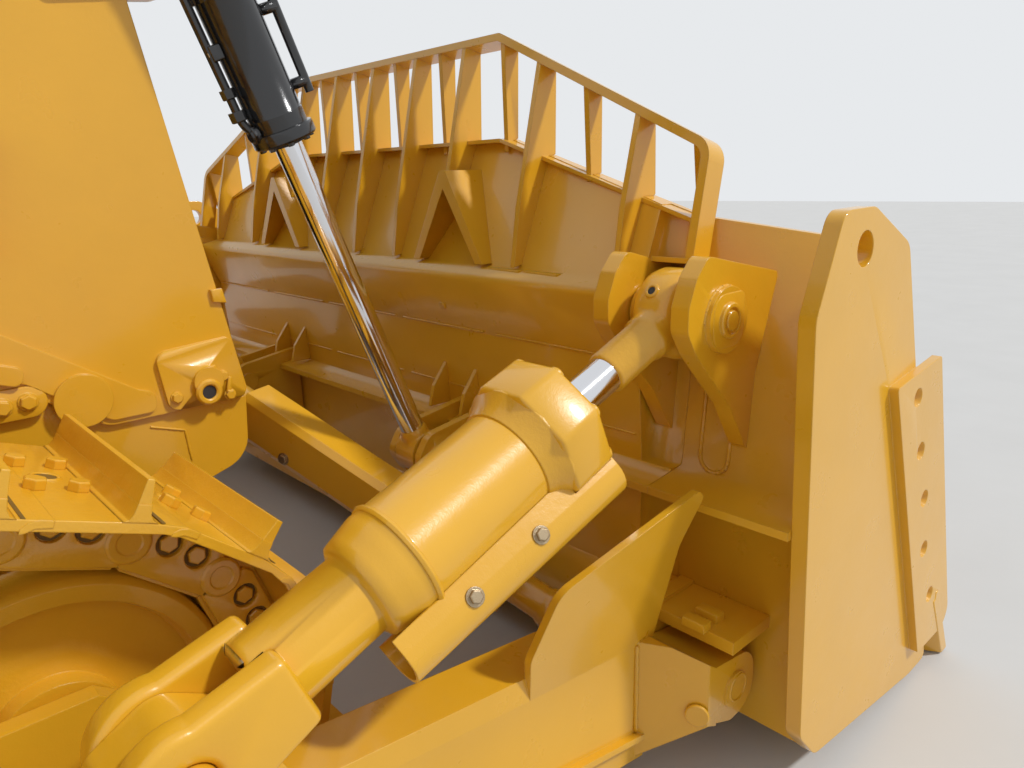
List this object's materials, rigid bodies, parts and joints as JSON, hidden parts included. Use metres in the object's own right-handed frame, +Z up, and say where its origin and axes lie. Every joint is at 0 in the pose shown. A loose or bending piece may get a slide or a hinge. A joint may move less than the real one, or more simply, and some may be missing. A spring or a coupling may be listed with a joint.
{
  "type": "bulldozer",
  "caption": "Yellow track-type bulldozer with a raised drive sprocket, curved blade with a slotted spill guard on two push arms, roll-over canopy and a single-shank ripper.",
  "frame": {"origin": "on the ground under the middle of the machine's length, in its middle plane", "axes": "+X forward towards the blade, +Y to the left, +Z up"},
  "size_m": [7.5368, 3.932, 3.456],
  "materials": {
    "yellow_paint": "satin",
    "black_paint": "gloss",
    "chrome_rod": "polished",
    "worn_steel": "satin",
    "glass": "gloss",
    "seat_cloth": "matte",
    "lamp_lens": "gloss",
    "engine_grey": "matte"
  },
  "bodies": {
    "chassis": {"main_frame": "yellow_paint", "equalizer_bar": "yellow_paint", "pivot_shaft": "yellow_paint", "engine_block": "engine_grey", "radiator_guard": "yellow_paint", "radiator_grille": "black_paint", "bottom_guard": "yellow_paint", "hood_top": "yellow_paint", "hood_sides": "yellow_paint", "stacks": "black_paint", "fenders": "yellow_paint", "cab_shell": "yellow_paint", "cab_glass": "glass", "cab_inside": "seat_cloth", "rops_canopy": "yellow_paint", "cab_roof_unit": "yellow_paint", "fuel_tank": "yellow_paint", "fender_boxes": "yellow_paint", "work_lamps": "lamp_lens", "grab_rails": "yellow_paint", "lift_yokes": "yellow_paint", "ripper_mount": "yellow_paint", "track_right": "yellow_paint", "track_frame_right": "yellow_paint", "track_rollers_right": "yellow_paint", "idlers_right": "yellow_paint", "final_drive_right": "yellow_paint", "sprocket_right": "worn_steel", "track_left": "yellow_paint", "track_frame_left": "yellow_paint", "track_rollers_left": "yellow_paint", "idlers_left": "yellow_paint", "final_drive_left": "yellow_paint", "sprocket_left": "worn_steel"},
    "door_right": {"cab_door_right": "yellow_paint"},
    "door_left": {"cab_door_left": "yellow_paint"},
    "lift_barrels": {"lift_barrels": "black_paint"},
    "lift_rods": {"lift_rods": "chrome_rod"},
    "push_arms": {"push_arm_right": "yellow_paint", "push_arm_left": "yellow_paint"},
    "blade": {"blade_middle": "yellow_paint", "blade_wings": "yellow_paint", "blade_end_plates": "yellow_paint", "blade_edges": "worn_steel", "spill_guard": "yellow_paint", "blade_gussets": "yellow_paint", "tilt_clevises": "yellow_paint", "arm_brackets": "yellow_paint", "lift_lugs": "yellow_paint"},
    "tilt_barrels": {"tilt_barrels": "yellow_paint", "tilt_line_guards": "yellow_paint"},
    "tilt_rods": {"tilt_rods": "chrome_rod"},
    "stabilizer": {"stabilizer_link": "yellow_paint"},
    "ripper_lower_link": {"ripper_lower_link": "yellow_paint"},
    "ripper_upper_links": {"ripper_upper_links": "yellow_paint"},
    "ripper_tool": {"ripper_beam": "yellow_paint", "ripper_shank": "worn_steel"},
    "ripper_barrels": {"ripper_barrels": "yellow_paint"},
    "ripper_rods": {"ripper_rods": "chrome_rod"}
  },
  "joints": [
    {"name": "blade_lift", "type": "hinge", "parent": "chassis", "child": "push_arms", "pos_m": [-0.39001, 0, 0.52], "axis": [0, -1, 0], "range_deg": [-8, 18]},
    {"name": "blade_pitch", "type": "hinge", "parent": "push_arms", "child": "blade", "pos_m": [2.74499, 0, 0.28], "axis": [0, 1, 0], "range_deg": [-4, 6]},
    {"name": "lift_barrel_swing", "type": "hinge", "parent": "chassis", "child": "lift_barrels", "pos_m": [1.99999, 0, 2.15], "axis": [0, -1, 0], "range_deg": [-5.56, 11.89]},
    {"name": "lift_rod_slide", "type": "slide", "parent": "lift_barrels", "child": "lift_rods", "axis": [0.3612, 0, -0.9325], "range_m": [-0.8962, 0.4005]},
    {"name": "tilt_barrel_swing", "type": "hinge", "parent": "push_arms", "child": "tilt_barrels", "pos_m": [1.43999, 0, 0.732], "axis": [0, -1, 0], "range_deg": [-2.05, 1.53]},
    {"name": "tilt_rod_slide", "type": "slide", "parent": "tilt_barrels", "child": "tilt_rods", "axis": [0.9274, 0, 0.3741], "range_m": [-0.067, 0.0985]},
    {"name": "stabilizer_swing", "type": "hinge", "parent": "chassis", "child": "stabilizer", "pos_m": [2.10999, -0.15, 0.95], "axis": [-0.7154, -0.6909, -0.1045], "range_deg": [-17.3, 38.3]},
    {"name": "door_right", "type": "hinge", "parent": "chassis", "child": "door_right", "pos_m": [-0.93601, -0.684, 2.675], "axis": [0, 0, -1], "range_deg": [0, 85]},
    {"name": "door_left", "type": "hinge", "parent": "chassis", "child": "door_left", "pos_m": [-0.93601, 0.684, 2.675], "axis": [0, 0, 1], "range_deg": [0, 85]},
    {"name": "ripper_lift", "type": "hinge", "parent": "chassis", "child": "ripper_lower_link", "pos_m": [-2.20001, 0, 0.86], "axis": [0, 1, 0], "range_deg": [-30, 12]},
    {"name": "ripper_tool_swing", "type": "hinge", "parent": "ripper_lower_link", "child": "ripper_tool", "pos_m": [-3.34844, 0, 0.8], "axis": [0, 1, 0], "range_deg": [-12.5, 30.5]},
    {"name": "ripper_upper_swing", "type": "hinge", "parent": "chassis", "child": "ripper_upper_links", "pos_m": [-2.20001, 0, 1.34], "axis": [0, 1, 0], "range_deg": [-30.5, 12.5]},
    {"name": "ripper_barrel_swing", "type": "hinge", "parent": "chassis", "child": "ripper_barrels", "pos_m": [-2.23001, 0, 1.5], "axis": [0, 1, 0], "range_deg": [-13.96, 5.88]},
    {"name": "ripper_rod_slide", "type": "slide", "parent": "ripper_barrels", "child": "ripper_rods", "axis": [-0.723, 0, -0.6908], "range_m": [-0.0983, 0.2397]}
  ],
  "couplings": [
    {"joint": "lift_barrel_swing", "follows": "blade_lift", "ratio": 0.6326},
    {"joint": "lift_rod_slide", "follows": "blade_lift", "m_per_rad": -2.84},
    {"joint": "tilt_barrel_swing", "follows": "blade_pitch", "ratio": -0.2584},
    {"joint": "tilt_rod_slide", "follows": "blade_pitch", "m_per_rad": 0.9022},
    {"joint": "stabilizer_swing", "follows": "blade_lift", "ratio": 2.1},
    {"joint": "ripper_tool_swing", "follows": "ripper_lift", "ratio": -1},
    {"joint": "ripper_upper_swing", "follows": "ripper_lift", "ratio": 1},
    {"joint": "ripper_barrel_swing", "follows": "ripper_lift", "ratio": 0.4487},
    {"joint": "ripper_rod_slide", "follows": "ripper_lift", "m_per_rad": -0.4502}
  ]
}
